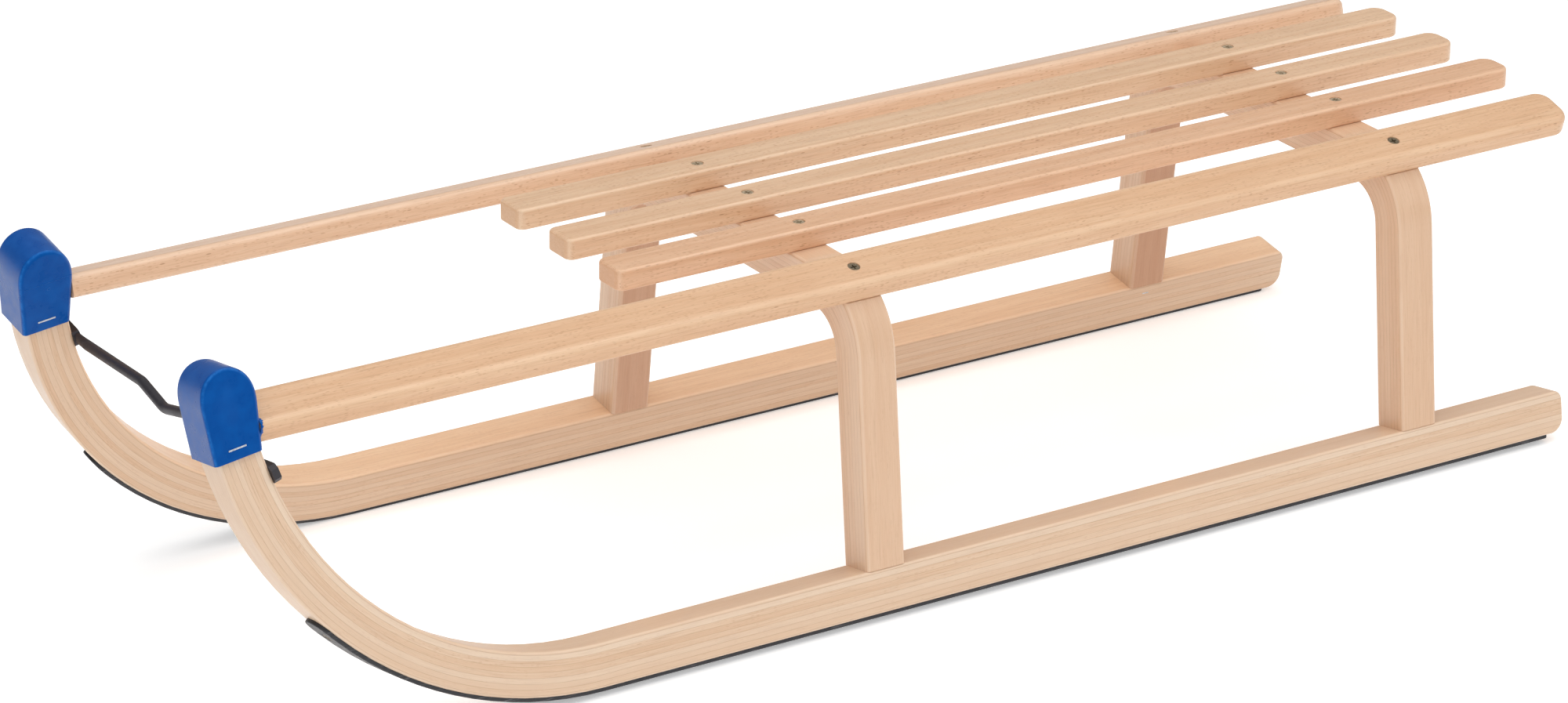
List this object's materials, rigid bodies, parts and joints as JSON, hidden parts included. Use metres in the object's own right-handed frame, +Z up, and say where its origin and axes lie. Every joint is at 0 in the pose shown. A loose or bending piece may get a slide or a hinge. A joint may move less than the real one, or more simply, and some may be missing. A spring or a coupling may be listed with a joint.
{
  "type": "wooden toboggan",
  "caption": "Wooden toboggan: laminated bent runners on steel shoes, two arched bows, rolled side rails, slatted seat, blue plastic tip caps and a steel pull bar.",
  "frame": {"origin": "on the ground, below the middle of the bounding box, in the sled's plane of symmetry", "axes": "+X points forward to the curved tips, +Y to the sled's left, +Z up"},
  "size_m": [0.986, 0.327, 0.2453],
  "materials": {
    "beech": "clear satin lacquer over pale steamed beech with fine flecks",
    "shoe_steel": "dark rolled steel strip, greyer along its rounded lower edge",
    "cap_plastic": "strong blue moulded plastic, satin",
    "bar_steel": "dark grey satin rod",
    "zinc_screws": "dull yellow zinc plating",
    "staple_wire": "pale galvanised wire"
  },
  "bodies": {
    "root": {"runner_left": "beech", "runner_right": "beech", "shoe_left": "shoe_steel", "shoe_right": "shoe_steel", "shoe_screws": "zinc_screws", "bow_front": "beech", "bow_rear": "beech", "tenon_staples": "staple_wire", "rail_left": "beech", "rail_right": "beech", "slat_left": "beech", "slat_centre": "beech", "slat_right": "beech", "seat_screws": "zinc_screws", "tip_cap_left": "cap_plastic", "tip_cap_right": "cap_plastic", "cap_staples": "staple_wire", "tip_screws": "zinc_screws", "pull_bar": "bar_steel", "bar_screws": "zinc_screws"}
  },
  "joints": []
}
